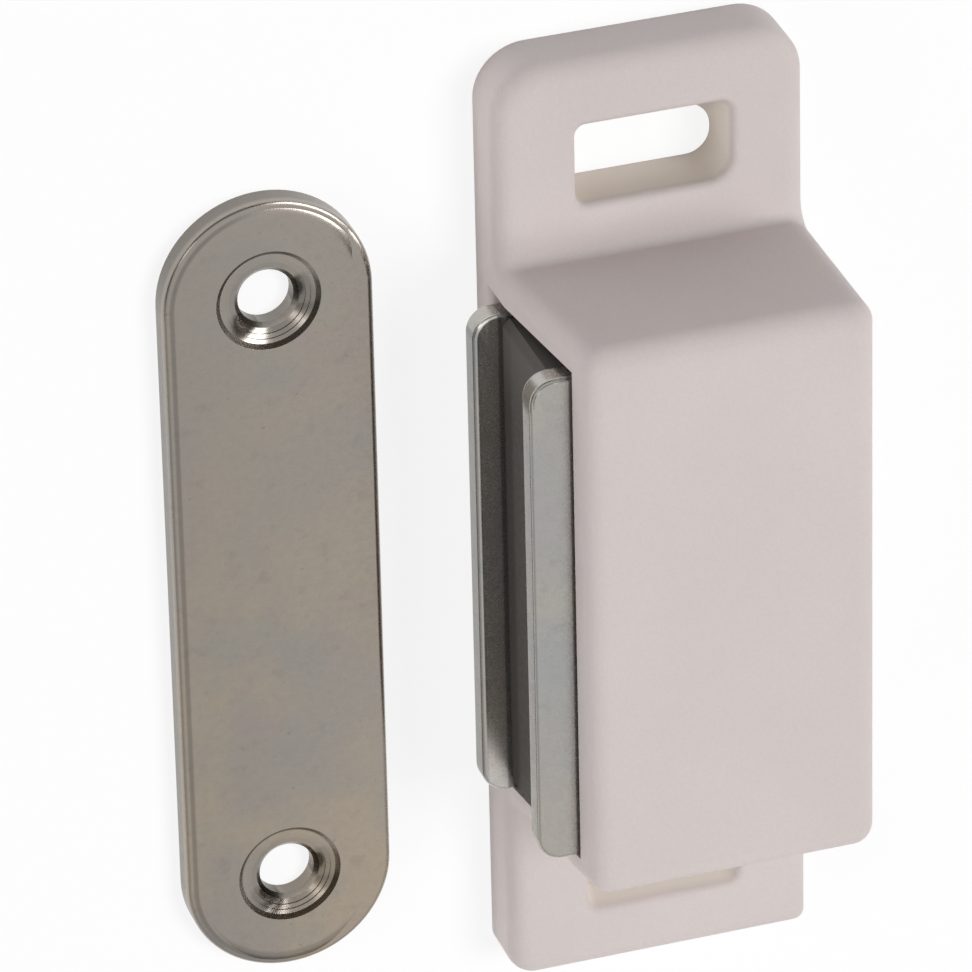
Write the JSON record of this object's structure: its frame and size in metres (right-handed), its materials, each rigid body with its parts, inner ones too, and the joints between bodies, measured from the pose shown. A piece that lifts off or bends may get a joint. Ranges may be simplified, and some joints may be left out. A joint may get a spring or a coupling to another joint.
{
  "type": "magnetic cabinet catch",
  "caption": "Surface-mounted magnetic catch: a moulded housing with slotted flanges, a floating magnet between steel pole plates, and a separate countersunk strike plate.",
  "frame": {"origin": "centre of the base outline, on the face that is screwed to the cabinet", "axes": "+Z out of the cabinet face towards the front of the box, +Y along the catch towards the flange with the larger corner radii, -X out of the mouth towards the strike plate"},
  "size_m": [0.0364, 0.058, 0.015],
  "materials": {
    "white_plastic": "fine matte moulded surface",
    "ferrite": "dull dark grey sintered ferrite",
    "plated_steel": "dull zinc plate, faintly mottled"
  },
  "bodies": {
    "catch": {"housing": "white_plastic", "strike_plate": "plated_steel"},
    "magnet_pack": {"magnet": "ferrite", "rear_pole_plate": "plated_steel", "front_pole_plate": "plated_steel"}
  },
  "joints": [
    {"name": "magnet_float", "type": "slide", "parent": "catch", "child": "magnet_pack", "axis": [1, 0, 0], "range_m": [-0.00045, 0.00045]}
  ]
}
